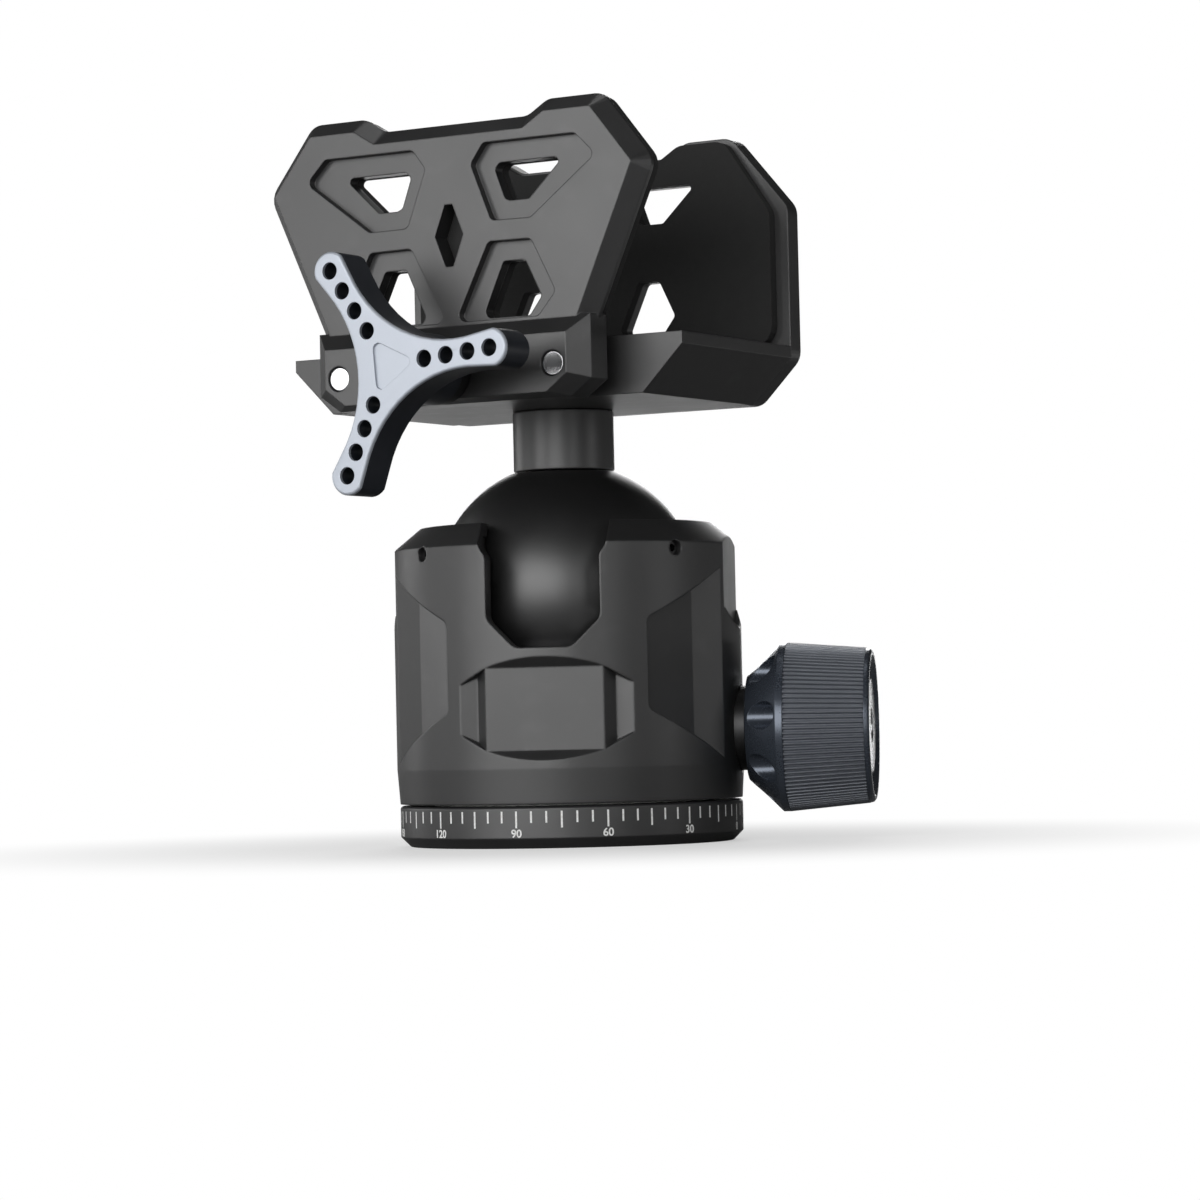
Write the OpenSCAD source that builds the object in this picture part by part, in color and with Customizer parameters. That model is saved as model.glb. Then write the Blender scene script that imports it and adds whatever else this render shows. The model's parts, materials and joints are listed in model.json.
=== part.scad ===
// Tripod ball head with a vise saddle on its stem. Millimetres, Z up.
// The origin is the middle of the face that sits on the tripod, X runs along the jaws,
// and the clamp knob points to -Y. The housing is turned on its pan base by housing_turn.

/* [Pan base] */
// radius of the degree ring
base_r = 35; // [30:0.5:40]
// height of the degree ring
base_h = 8.3; // [6:0.1:12]
// bevel round the foot of the degree ring
base_bevel = 2; // [0.5:0.1:3]
// inner radius of the degree ring
ring_bore_r = 30; // [24:0.5:32]
// radius of the hub that the housing turns on
hub_r = 18; // [14:0.5:22]
// minor radius of the tripod thread
thread_r = 3.97; // [3:0.01:6]
// outer radius of the threaded bush
bush_r = 7; // [6:0.1:10]

/* [Housing] */
// turn of the housing about Z, from the clamp knob toward +X
housing_turn = 23; // [0:1:90]
// outer radius of the housing
body_r = 35.5; // [32:0.5:42]
// radius at the foot of the housing
body_foot_r = 35; // [30:0.5:42]
// height of the taper above the foot
body_taper_h = 7; // [2:0.5:12]
// open line between degree ring and housing
body_gap = 0.4; // [0.2:0.1:1]
// radius of the inner bore
bore_r = 29.2; // [28.5:0.1:31]
// rim height above the ball centre
rim_h = 13.7; // [10:0.1:16]
// inner radius of the rim
rim_in_r = 24; // [23.8:0.1:26]
// outer radius of the flat rim
rim_out_r = 29.9; // [27:0.1:33]
// height of the sloped shoulder under the rim
shoulder_h = 4.6; // [2:0.1:8]
// width of the drop notch
notch_w = 22.8; // [21.5:0.1:26]
// depth of the drop notch below the ball centre
notch_drop = 11.5; // [10.8:0.1:14]
// width of the flat floor of the drop notch
notch_floor_w = 11.4; // [6:0.1:16]
// corner radius of the drop notch
notch_corner_r = 2.6; // [0.5:0.1:3]
// depth of the step at the inner side of the housing's two pockets
groove_step = 0.9; // [0.2:0.1:1.4]
// corner radius of the housing's two pockets
groove_corner_r = 1.7; // [0.5:0.1:3]
// how far the milled flats reach in from the housing's outside
flat_reach = 2; // [0.5:0.1:3]

/* [Ball] */
// ball radius
ball_r = 27; // [24:0.5:28]
// height of the ball centre above the tripod
ball_z = 51; // [49:0.5:60]
// radius of the stem
neck_r = 10.35; // [8:0.05:11]
// radius of the stem spigot inside the ball
spigot_r = 6.2; // [4:0.1:8]

/* [Ball lock] */
// lock knob axis below the ball centre
lock_drop = 28.3; // [27:0.1:29]
// radius of the lock shaft
shaft_r = 4; // [3:0.1:4.2]
// largest radius of the lock knob
lock_knob_r = 17.15; // [14:0.05:20]
// radius of the lock knob at its housing side
lock_root_r = 10.7; // [9:0.1:13]
// distance of the lock knob from the housing's outside
lock_start = 1.4; // [1.1:0.1:4]
// length of the lock knob
lock_len = 25.4; // [20:0.1:34]
// count of finger scoops round the cone
scoop_count = 8; // [5:1:12]
// count of ribs on the grip
rib_count = 100; // [60:2:140]
// depth of the ribs
rib_depth = 0.6; // [0.2:0.05:0.8]
// radius of the tension dial
tension_r = 10.4; // [8:0.1:11]
// slope of the lock wedge in degrees
wedge_slope = 20; // [10:1:25]

/* [Pan lock] */
// radius of the pan knob
pan_knob_r = 8; // [6:0.1:9]
// length of the pan knob
pan_knob_len = 12.5; // [8:0.1:20]
// radius of the pan screw
pan_screw_r = 2.5; // [2:0.1:2.8]

/* [Saddle] */
// underside of the saddle above the ball centre
saddle_rise = 37.3; // [36:0.1:50]
// thickness of the saddle
saddle_t = 11.5; // [10.5:0.1:16]
// half width of the saddle
saddle_half = 45.5; // [42:0.5:60]
// straight height of the saddle sides
saddle_side_h = 2.4; // [1:0.1:4]
// front face of the saddle
saddle_front = -30; // [-40:0.5:-26]
// rear face of the saddle
saddle_rear = 14.6; // [12:0.1:30]
// height of rods and screw above the saddle's underside
rod_rise = 5.6; // [5.2:0.1:6.5]
// side distance of the guide rods
rod_x = 24.9; // [20:0.1:27]
// radius of the guide rods
rod_r = 2.5; // [2:0.1:3]
// radius of the lead screw
screw_r = 3; // [2.5:0.1:3.2]

/* [Jaws] */
// front face of the moving jaw
jaw_front = -41.6; // [-60:0.1:-40]
// thickness of a jaw plate
jaw_t = 4.4; // [3.6:0.1:8]
// width of the bevel round the moving jaw
jaw_bevel = 2.8; // [1:0.1:3]
// depth of that bevel
jaw_bevel_depth = 3.4; // [1:0.1:3.5]
// corner radius of the jaw plates
jaw_corner_r = 4; // [2:0.1:5]
// depth of the milled jaw pockets
pocket_depth = 1.8; // [0.5:0.1:2.5]
// corner radius of the milled jaw pockets
pocket_corner_r = 1.4; // [0.5:0.1:2]
// corner radius of the openings through the jaws
opening_corner_r = 1; // [0.5:0.1:1.5]
// thickness of the rubber pads
pad_t = 2.3; // [1.5:0.1:4]
// top of the jaws above the ball centre
jaw_top = 92.3; // [85:0.1:110]
// how far the foot of the moving jaw stands proud
foot_proud = 3.1; // [2:0.1:5]

/* [Clamp knob] */
// radius of the outermost hole in an arm
arm_r = 23.07; // [18:0.1:30]
// radius of the arm ends
arm_end_r = 3.8; // [3:0.1:5]
// narrowest radius between the arms
arm_waist_r = 7.25; // [6:0.05:9]
// thickness of the clamp knob
arm_t = 8.6; // [6:0.1:10]
// turn of the first arm from +X
arm_turn = 4.5; // [0:0.5:119]
// radius of the holes in the arms
arm_hole_r = 1.65; // [1:0.05:2.2]
// reach of the three-cornered recess in the clamp knob
recess_r = 6.2; // [4:0.1:6.5]
// front face of the clamp knob
arm_front = -64.2; // [-90:0.1:-60]

/* [Clearances] */
// gap between parts that turn past each other
run_gap = 0.3; // [0.2:0.05:0.4]
// gap of guided shafts
fit_gap = 0.1; // [0.05:0.01:0.1]
// gap of fixed parts that slide together when assembled
seat_gap = 0.05; // [0.02:0.01:0.1]

/* [Hidden] */
$fn = 96;
washer_t = 0.5;
cover_z = base_h + washer_t + seat_gap;
cover_top = cover_z + 6.6;
hub_top = cover_top + washer_t + 2 * seat_gap;
mouth_bevel = 0.5;
skin = 0.1;
retainer_t = 2;
retainer_r = hub_r + 2;
house_z = base_h + body_gap;
rim_z = ball_z + rim_h;
ledge_z = rim_z - 2.7;
lock_z = ball_z - lock_drop;
seat_r = ball_r + 4 * run_gap;
cup_z = cover_top + 4.6;
cup_top = ball_z - notch_drop - 0.5;
spot_r = 8.6;
spot_x = body_r - 0.9;
bush_out_r = shaft_r + 2.5;
wedge_in = retainer_r + 0.8;
wedge_len = 5.7;
wedge_half = 6;
wedge_top = lock_z + 2.4;
pan_z = (cover_z + cover_top) / 2;
pan_pad_end = hub_r + 2.5;
lock_x = body_r + lock_start;
flat_x = body_r - flat_reach;
knob_end = lock_x + lock_len;
band_x = lock_x + 6.8;
grip_x = band_x + 1.4;
scoop_r = 2.8;
grip_end = knob_end - 1.1;
grip_core_r = lock_knob_r - 2.6;
dial_x = knob_end - 5.8;
saddle_z = ball_z + saddle_rise;
saddle_top = saddle_z + saddle_t;
rod_z = saddle_z + rod_rise;
bevel_x = saddle_t - saddle_side_h;
jaw_back = jaw_front + jaw_t;
foot_front = jaw_front - foot_proud;
foot_back = jaw_back + pad_t - 0.3;
rear_face = saddle_rear + jaw_t - 0.2;
stem_screw_x = screw_r + 3.4;
stem_screw_y = 4;
stem_screw_r = 2;
jaw_screw_r = 1.75;
jaw_screw_x = [-35, -12, 12, 35];
nut_r = 4.4;
nut_len = 17;
rod_bush_r = 3.6;
rod_bush_len = 18;
hub_front = arm_front + arm_t;
hub_back = foot_front - 3.6;
clip_t = 1.2;
clip_r = 5.2;
arm_pitch = 4.92;
arm_arc_r = (arm_waist_r * arm_waist_r + arm_r * arm_r - arm_r * arm_waist_r - arm_end_r * arm_end_r)
    / (arm_r - 2 * arm_waist_r + 2 * arm_end_r);
rise = ball_z;

// turns the housing group on the pan base
module head() {
    rotate([0, 0, housing_turn]) children();
}

// a shaft frame: its z runs outward from the head axis at an azimuth and a height
module outward(azimuth, z) {
    head() rotate([0, 0, azimuth]) translate([0, 0, z]) rotate([0, 90, 0]) children();
}

// a frame on the front of the housing at an angle from the notch: x sideways, y inward, z up
module facing(angle) {
    head() rotate([0, 0, angle]) children();
}

// an upright outline drawn in x and z, from y = first to y = last
module upright(first, last) {
    translate([0, last, 0]) rotate([90, 0, 0]) linear_extrude(last - first) children();
}

// a bar along y
module bar(x, z, r, first, last) {
    translate([x, last, z]) rotate([90, 0, 0]) cylinder(r = r, h = last - first);
}

// an outline moved outward by d, corners kept sharp; points run anticlockwise
function grow(p, d) = [for (i = [0 : len(p) - 1])
    let (a = p[(i + len(p) - 1) % len(p)], b = p[i], c = p[(i + 1) % len(p)],
        u = (b - a) / norm(b - a), v = (c - b) / norm(c - b),
        m = [u[1], -u[0]], n = [v[1], -v[0]])
    b + d * (m + n) / (1 + m * n)];

// a body through equal outlines of x and z, one at each y
module stack(rings, ys) {
    k = len(rings[0]);
    last = len(rings) - 1;
    points = [for (i = [0 : last]) for (p = rings[i]) [p[0], ys[i], p[1]]];
    sides = [for (i = [0 : last - 1]) for (j = [0 : k - 1]) let (a = i * k + j, b = i * k + (j + 1) % k)
        each [[a, b, b + k], [a, b + k, a + k]]];
    polyhedron(points, concat([[for (j = [k - 1 : -1 : 0]) j]],
        [[for (j = [0 : k - 1]) last * k + j]], sides), convexity = 6);
}

// an outline with its corners rounded by short chords
function rounded(p, r) = [for (i = [0 : len(p) - 1])
    let (a = p[(i + len(p) - 1) % len(p)], b = p[i], c = p[(i + 1) % len(p)],
        u = (a - b) / norm(a - b), v = (c - b) / norm(c - b), half = acos(u * v) / 2,
        reach = min(r / tan(half), 0.45 * norm(a - b), 0.45 * norm(c - b)),
        hub = b + (u + v) / norm(u + v) * reach / cos(half), spoke = b + u * reach - hub,
        swing = (u[0] * v[1] - u[1] * v[0] > 0 ? -1 : 1) * (180 - 2 * half))
    for (k = [0 : 4]) let (t = swing * k / 4)
        hub + [spoke[0] * cos(t) - spoke[1] * sin(t), spoke[0] * sin(t) + spoke[1] * cos(t)]];

function mirrored(p) = concat(p, [for (i = [len(p) - 1 : -1 : 0]) [-p[i][0], p[i][1]]]);

module base_plate() {
    color([0.11, 0.11, 0.12]) difference() {
        rotate_extrude() polygon([[bush_r, 0], [ring_bore_r, 0], [ring_bore_r, base_h],
            [hub_r, base_h], [hub_r, hub_top], [bush_r, hub_top]]);
        for (a = [45 : 90 : 315]) rotate([0, 0, a])
            translate([(bush_r + hub_r) / 2, 0, base_h - 1]) cylinder(r = 1.25, h = hub_top);
    }
}

module dial_ring() {
    color([0.13, 0.13, 0.14]) rotate_extrude() polygon([[ring_bore_r, 0], [base_r - base_bevel, 0],
        [base_r, base_bevel], [base_r, base_h - 0.4], [base_r - 0.4, base_h], [ring_bore_r, base_h]]);
}

module thread_bush() {
    color([0.6, 0.6, 0.62]) rotate_extrude() polygon([[thread_r + mouth_bevel, 0], [bush_r, 0],
        [bush_r, hub_top], [thread_r, hub_top], [thread_r, mouth_bevel]]);
}

module pan_washer() {
    color([0.9, 0.9, 0.88]) rotate_extrude() polygon([[hub_r + 2, base_h], [bore_r - 1, base_h],
        [bore_r - 1, base_h + washer_t], [hub_r + 2, base_h + washer_t]]);
}

module pan_retainer() {
    color([0.62, 0.62, 0.64]) difference() {
        rotate_extrude() polygon([[bush_r + 1, hub_top], [retainer_r, hub_top],
            [retainer_r, hub_top + retainer_t], [bush_r + 1, hub_top + retainer_t]]);
        for (a = [45 : 90 : 315]) rotate([0, 0, a]) translate([(bush_r + hub_r) / 2, 0, hub_top]) {
            translate([0, 0, -1]) cylinder(r = 1.25, h = 4);
            translate([0, 0, 0.5]) cylinder(r1 = 1.25, r2 = 2.8, h = 1.5);
        }
    }
}

module retainer_screws() {
    color([0.5, 0.5, 0.52]) for (a = [45 : 90 : 315]) rotate([0, 0, a])
        translate([(bush_r + hub_r) / 2, 0, base_h]) difference() {
            union() {
                cylinder(r = 1.25, h = hub_top + 1 - base_h);
                translate([0, 0, hub_top + 0.5 - base_h]) cylinder(r1 = 1.25, r2 = 2.8, h = 1.5);
            }
            translate([0, 0, hub_top + 1 - base_h]) cylinder(r = 1, h = 2, $fn = 6);
        }
}

// the slot that the stem drops into
module notch(extra) {
    lip = rim_h - shoulder_h - 0.4;
    head() upright(-body_r - 5, 0) translate([0, ball_z]) polygon(rounded(grow([
        [-notch_floor_w / 2, -notch_drop], [notch_floor_w / 2, -notch_drop],
        [notch_w / 2, -notch_drop / 2], [notch_w / 2, lip - 2], [notch_w / 2 + 1.4, lip],
        [notch_w / 2 + 1.4, rim_h + 5], [-notch_w / 2 - 1.4, rim_h + 5], [-notch_w / 2 - 1.4, lip],
        [-notch_w / 2, lip - 2], [-notch_w / 2, -notch_drop / 2]], extra), notch_corner_r));
}

// how far in front of the axis a line just outside the housing's skin lies, at a sideways distance
function skin_y(x) = sqrt(pow(body_r + skin, 2) - x * x);

// a vertical groove with two faces and sloped ends, open outward; sides are (width, half height)
module face_groove(angle, near, far, valley_x, valley_y, step, corner_r) {
    middle = ball_z - 15;
    past = 4;
    slope = (far[1] - near[1]) / (far[0] + near[0]);
    outline = [[-near[0], -near[1]], [far[0] + past, -far[1] - past * slope],
        [far[0] + past, far[1] + past * slope], [-near[0], near[1]]];
    facing(angle) intersection() {
        upright(-body_r - 4, -body_r + 12) translate([0, middle])
            polygon(corner_r > 0 ? rounded(outline, corner_r) : outline);
        translate([0, 0, ball_z - body_r - 20]) linear_extrude(2 * body_r + 20) polygon([
            [-near[0], -body_r - 5], [far[0], -body_r - 5], [far[0], -skin_y(far[0])],
            [valley_x, -valley_y], [-near[0], step - skin_y(near[0])]]);
    }
}

// the two-faced pocket beside the notch
module side_pocket() {
    face_groove(52, [10.6, 9], [10.4, 19.3], 3.2, body_r - 3, groove_step, groove_corner_r);
}

// flat cut above the lock knob with a rounded lower end
module side_flat() {
    half = sqrt(body_r * body_r - flat_x * flat_x) + 1;
    head() translate([flat_x, 0, ball_z - 8]) rotate([0, 90, 0]) {
        translate([-rim_h - 20, -half, 0]) cube([rim_h + 24 - 8, 2 * half, 5]);
        intersection() {
            translate([-17, 0, 0]) cylinder(r = 17, h = 5);
            translate([-6, -half, 0]) cube([10, 2 * half, 5]);
        }
    }
}

module housing() {
    badge_y = flat_x;
    badge_half = sqrt(body_r * body_r - badge_y * badge_y) + 1;
    // the seam of the turned shell lies at its plain back
    color([0.12, 0.12, 0.13]) difference() {
        head() rotate([0, 0, 110]) rotate_extrude() polygon([[bore_r, house_z], [body_foot_r, house_z],
            [body_r, house_z + body_taper_h], [body_r, rim_z - shoulder_h], [rim_out_r, rim_z],
            [rim_in_r, rim_z], [rim_in_r + 1.2, ledge_z], [bore_r, ledge_z]]);
        notch(0);
        side_flat();
        head() mirror([1, 0, 0]) rotate([0, 0, -housing_turn]) side_flat();
        side_pocket();
        head() mirror([1, 0, 0]) rotate([0, 0, -housing_turn]) side_pocket();
        facing(0) rotate([90, 0, 90]) translate([0, ball_z - 23.5, -badge_half])
            linear_extrude(2 * badge_half) polygon([[-badge_y, -8.2], [-badge_y, 8.2],
                [-badge_y - 4, 12.2], [-badge_y - 4, -12.2]]);
        translate([0, 0, -8.5]) face_groove(24.3, [3.2, 8.2], [3.2, 4.8], 0, body_r - 2, 0, 0);
        translate([0, 0, -8.5]) head() mirror([1, 0, 0]) rotate([0, 0, -housing_turn])
            face_groove(24.3, [3.2, 8.2], [3.2, 4.8], 0, body_r - 2, 0, 0);
        outward(0, lock_z) translate([0, 0, 20]) cylinder(r = bush_out_r, h = 20);
        outward(0, lock_z) translate([0, 0, spot_x]) cylinder(r = spot_r + run_gap, h = 5);
        outward(90, pan_z) translate([0, 0, 20]) cylinder(r = pan_screw_r + fit_gap, h = 20);
        for (a = [-46, 46, 134, 226]) outward(a - 90, ball_z + 7.8)
            translate([0, 0, 25]) cylinder(r = 1.5, h = 15);
    }
}

module bottom_cover() {
    color([0.16, 0.16, 0.17]) difference() {
        rotate_extrude() polygon([[hub_r + run_gap, cover_z], [bore_r - seat_gap, cover_z],
            [bore_r - seat_gap, cover_top], [hub_r + run_gap, cover_top]]);
        outward(90, pan_z) translate([0, 0, hub_r - 5]) cylinder(r = pan_screw_r + fit_gap, h = 25);
    }
}

module slip_washer() {
    color([0.9, 0.9, 0.88]) rotate_extrude() polygon([[hub_r + run_gap, cover_top],
        [retainer_r, cover_top], [retainer_r, cover_top + washer_t], [hub_r + run_gap, cover_top + washer_t]]);
}

module ball_race() {
    color([0.1, 0.1, 0.1]) difference() {
        translate([0, 0, ball_z + 2]) cylinder(r = bore_r - seat_gap, h = ledge_z - seat_gap - ball_z - 2);
        translate([0, 0, ball_z]) sphere(r = ball_r + run_gap);
        notch(run_gap);
    }
}

module race_screws() {
    color([0.2, 0.2, 0.21]) for (a = [-46, 46, 134, 226]) outward(a - 90, ball_z + 7.8)
        translate([0, 0, bore_r]) difference() {
            cylinder(r = 1.5, h = body_r - bore_r - 1.2);
            translate([0, 0, body_r - bore_r - 2.6]) cylinder(r = 0.85, h = 3, $fn = 6);
        }
}

// a ring that is open where the lock wedge passes
module cup_spring() {
    open_half = wedge_half + 2 * run_gap;
    color([0.7, 0.7, 0.72]) difference() {
        rotate_extrude() polygon([[bore_r - 2.2, cover_top], [bore_r - 0.6, cover_top],
            [bore_r - 0.6, cup_z - 0.7], [bore_r - 2.2, cup_z - 0.7]]);
        head() translate([0, -open_half, cover_top - 1]) cube([bore_r + 5, 2 * open_half, cup_z]);
    }
}

module lock_bush() {
    color([0.2, 0.2, 0.2]) outward(0, lock_z) difference() {
        union() {
            translate([0, 0, bore_r]) cylinder(r = bush_out_r, h = spot_x - bore_r);
            translate([0, 0, spot_x]) cylinder(r = spot_r, h = lock_x - run_gap - spot_x);
        }
        translate([0, 0, bore_r - 1]) cylinder(r = shaft_r + fit_gap, h = 15);
    }
}

module pan_pad() {
    color([0.72, 0.58, 0.28]) outward(90, pan_z)
        translate([0, 0, hub_r + run_gap]) cylinder(r = pan_screw_r, h = pan_pad_end - hub_r - run_gap);
}

module lower_cup() {
    roof = wedge_top + run_gap / cos(wedge_slope);
    color([0.66, 0.66, 0.68]) difference() {
        translate([0, 0, cup_z]) cylinder(r = bore_r - run_gap, h = cup_top - cup_z);
        translate([0, 0, ball_z]) sphere(r = seat_r);
        translate([0, 0, cup_z - 1]) cylinder(r = 12, h = 20);
        head() upright(-wedge_half - run_gap, wedge_half + run_gap) polygon([[wedge_in - 2, cup_z - 1],
            [bore_r + 2, cup_z - 1], [bore_r + 2, roof + (bore_r + 2 - wedge_in) * tan(wedge_slope)],
            [wedge_in - 2, roof - 2 * tan(wedge_slope)]]);
        outward(0, lock_z) translate([0, 0, wedge_in - 2]) cylinder(r = shaft_r + 2 * run_gap, h = 20);
    }
}

module lock_wedge() {
    color([0.72, 0.56, 0.3]) difference() {
        head() upright(-wedge_half, wedge_half) polygon([[wedge_in, cover_top + run_gap],
            [wedge_in + wedge_len, cover_top + run_gap],
            [wedge_in + wedge_len, wedge_top + wedge_len * tan(wedge_slope)], [wedge_in, wedge_top]]);
        outward(0, lock_z) translate([0, 0, wedge_in - 1]) cylinder(r = shaft_r + fit_gap, h = 10);
    }
}

module lock_knob() {
    color([0.17, 0.19, 0.23]) difference() {
        outward(0, lock_z) rotate_extrude() polygon([[shaft_r, lock_x], [lock_root_r, lock_x],
            [lock_knob_r, band_x], [lock_knob_r, grip_x], [grip_core_r, grip_x], [grip_core_r, grip_end],
            [lock_knob_r - 1.45, grip_end], [lock_knob_r - 1.6, knob_end - 0.4], [lock_knob_r - 2.1, knob_end],
            [lock_knob_r - 2.8, knob_end], [tension_r + 0.9, knob_end - 2], [tension_r + 0.9, dial_x],
            [shaft_r, dial_x]]);
        for (i = [0 : scoop_count - 1]) outward(0, lock_z) rotate([0, 0, 80 + i * 360 / scoop_count])
            translate([lock_root_r + scoop_r + 0.6, 0, lock_x - 1])
                cylinder(r = scoop_r, h = band_x - lock_x + 0.6);
        outward(0, lock_z) translate([0, -9.5, lock_x + 3.2]) rotate([-90, 0, 0]) cylinder(r = 1.5, h = 19);
    }
}

module knob_grip() {
    // rib outline: four points to a rib
    ring = [for (i = [0 : 4 * rib_count - 1]) let (a = (i + (i % 2) * 0.3) * 90 / rib_count,
        r = lock_knob_r - ((i % 4) < 2 ? 0 : rib_depth)) [r * cos(a), r * sin(a)]];
    color([0.2, 0.21, 0.22]) outward(0, lock_z) translate([0, 0, grip_x]) difference() {
        linear_extrude(grip_end - grip_x, scale = 1 - 1.4 / lock_knob_r) polygon(ring);
        translate([0, 0, -1]) cylinder(r = grip_core_r, h = 40);
    }
}

module lock_shaft() {
    color([0.6, 0.6, 0.63]) outward(0, lock_z) difference() {
        translate([0, 0, wedge_in - 1.2]) cylinder(r = shaft_r, h = dial_x - 2 - wedge_in + 1.2);
        translate([0, 0, dial_x - 7]) cylinder(r = 2.5 + fit_gap, h = 10);
        translate([0, -9.5, lock_x + 3.2]) rotate([-90, 0, 0]) cylinder(r = 1.5, h = 19);
    }
}

module knob_pin() {
    color([0.5, 0.5, 0.52]) outward(0, lock_z) translate([0, -9.5, lock_x + 3.2])
        rotate([-90, 0, 0]) cylinder(r = 1.5, h = 19);
}

module tension_dial() {
    color([0.8, 0.8, 0.82]) outward(0, lock_z) difference() {
        translate([0, 0, dial_x + run_gap]) rotate_extrude() polygon([[0, 0], [tension_r, 0],
            [tension_r, 4.4], [tension_r - 0.6, 5], [3.4, 5], [3, 4.4], [0, 4.4]]);
        for (a = [0 : 36 : 324]) rotate([0, 0, a])
            translate([tension_r + 1, 0, dial_x]) cylinder(r = 2.1, h = 10);
    }
}

module tension_screw() {
    color([0.7, 0.7, 0.72]) outward(0, lock_z)
        translate([0, 0, dial_x - 6.5]) cylinder(r = 2.5, h = 6.5 + run_gap);
}

module pan_knob() {
    pan_x = body_r + 2;
    color([0.17, 0.19, 0.23]) outward(90, pan_z) difference() {
        rotate_extrude() polygon([[pan_screw_r, pan_x], [pan_knob_r - 2.5, pan_x], [pan_knob_r, pan_x + 2.5],
            [pan_knob_r, pan_x + pan_knob_len - 1], [pan_knob_r - 1, pan_x + pan_knob_len],
            [0, pan_x + pan_knob_len], [0, pan_x + pan_knob_len - 2], [pan_screw_r, pan_x + pan_knob_len - 2]]);
        for (a = [0 : 30 : 330]) rotate([0, 0, a])
            translate([pan_knob_r + 0.6, 0, pan_x + 3.5]) cylinder(r = 1.3, h = pan_knob_len);
    }
}

module pan_screw() {
    color([0.6, 0.6, 0.63]) outward(90, pan_z) translate([0, 0, pan_pad_end + run_gap])
        cylinder(r = pan_screw_r, h = body_r + pan_knob_len - pan_pad_end - run_gap);
}

module seat_liner() {
    color([0.92, 0.92, 0.9]) difference() {
        intersection() {
            translate([0, 0, ball_z]) sphere(r = seat_r - run_gap);
            translate([0, 0, ball_z - ball_r - 5]) cylinder(r = ball_r, h = ball_r + 5 - 14.5);
        }
        translate([0, 0, ball_z]) sphere(r = ball_r + run_gap);
        translate([0, 0, ball_z - ball_r - 5]) cylinder(r = 10, h = 20);
    }
}

module ball() {
    top = sqrt(ball_r * ball_r - neck_r * neck_r) - run_gap;
    color([0.1, 0.1, 0.11]) translate([0, 0, ball_z]) difference() {
        sphere(r = ball_r);
        translate([0, 0, top]) cylinder(r = ball_r, h = ball_r);
        translate([0, 0, 6]) cylinder(r = spigot_r + fit_gap, h = ball_r);
    }
}

module stem() {
    foot = sqrt(ball_r * ball_r - neck_r * neck_r);
    color([0.12, 0.12, 0.13]) difference() {
        translate([0, 0, ball_z]) rotate_extrude() polygon([[0, 6 + run_gap], [spigot_r, 6 + run_gap],
            [spigot_r, foot], [neck_r, foot], [neck_r, saddle_rise], [0, saddle_rise]]);
        for (x = [-stem_screw_x, stem_screw_x]) for (y = [-stem_screw_y, stem_screw_y])
            translate([x, y, saddle_z - 8]) cylinder(r = stem_screw_r, h = 20);
    }
}

module saddle_base() {
    color([0.12, 0.12, 0.13]) difference() {
        upright(saddle_front, saddle_rear) polygon(mirrored([[saddle_half - bevel_x, saddle_z],
            [saddle_half, saddle_top - saddle_side_h], [saddle_half, saddle_top]]));
        for (x = [-rod_x, rod_x]) {
            bar(x, rod_z, rod_bush_r, saddle_front - 1, saddle_front + rod_bush_len);
            bar(x, rod_z, rod_r + run_gap, saddle_front, saddle_rear + 1);
        }
        bar(0, rod_z, nut_r, saddle_front - 1, saddle_front + nut_len);
        bar(0, rod_z, screw_r + run_gap, saddle_front, saddle_rear + 1);
        for (x = jaw_screw_x) bar(x, rod_z, jaw_screw_r, saddle_rear - 9, saddle_rear + 1);
        for (x = [-stem_screw_x, stem_screw_x]) for (y = [-stem_screw_y, stem_screw_y]) translate([x, y, 0]) {
            translate([0, 0, saddle_z - 1]) cylinder(r = stem_screw_r, h = 20);
            translate([0, 0, saddle_top - 2.2]) cylinder(r1 = stem_screw_r, r2 = stem_screw_r + 2.4, h = 2.4);
        }
    }
}

module saddle_screws() {
    color([0.25, 0.25, 0.26]) for (x = [-stem_screw_x, stem_screw_x]) for (y = [-stem_screw_y, stem_screw_y])
        translate([x, y, 0]) difference() {
            union() {
                translate([0, 0, saddle_z - 8]) cylinder(r = stem_screw_r, h = saddle_t + 7);
                translate([0, 0, saddle_top - 2.2])
                    cylinder(r1 = stem_screw_r, r2 = stem_screw_r + 2.1, h = 2.1);
            }
            translate([0, 0, saddle_top - 2]) cylinder(r = 1.4, h = 3, $fn = 6);
        }
}

module lead_nut() {
    color([0.74, 0.6, 0.3]) difference() {
        bar(0, rod_z, nut_r, saddle_front, saddle_front + nut_len);
        bar(0, rod_z, screw_r + fit_gap, saddle_front - 1, saddle_front + nut_len + 1);
    }
}

module rod_bushes() {
    color([0.74, 0.6, 0.3]) for (x = [-rod_x, rod_x]) difference() {
        bar(x, rod_z, rod_bush_r, saddle_front, saddle_front + rod_bush_len);
        bar(x, rod_z, rod_r + fit_gap, saddle_front - 1, saddle_front + rod_bush_len + 1);
    }
}

// pockets and see-through openings of a jaw, the right half of each outline
module jaw_pockets(first, last) {
    for (s = [-1, 1]) scale([s, 1, 1]) {
        upright(first, last) translate([0, rise]) polygon(rounded([[9, 67.9], [1.8, 53.9], [2.7, 52.6],
            [20.2, 52.6], [24.2, 57.2], [18.8, 67.8]], pocket_corner_r));
        upright(first, last) translate([0, rise]) polygon(rounded([[8.3, 87.4], [5.3, 83.4], [9.8, 72],
            [18.9, 71.9], [33.8, 82.9], [29.2, 87.4]], pocket_corner_r));
    }
}

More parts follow.
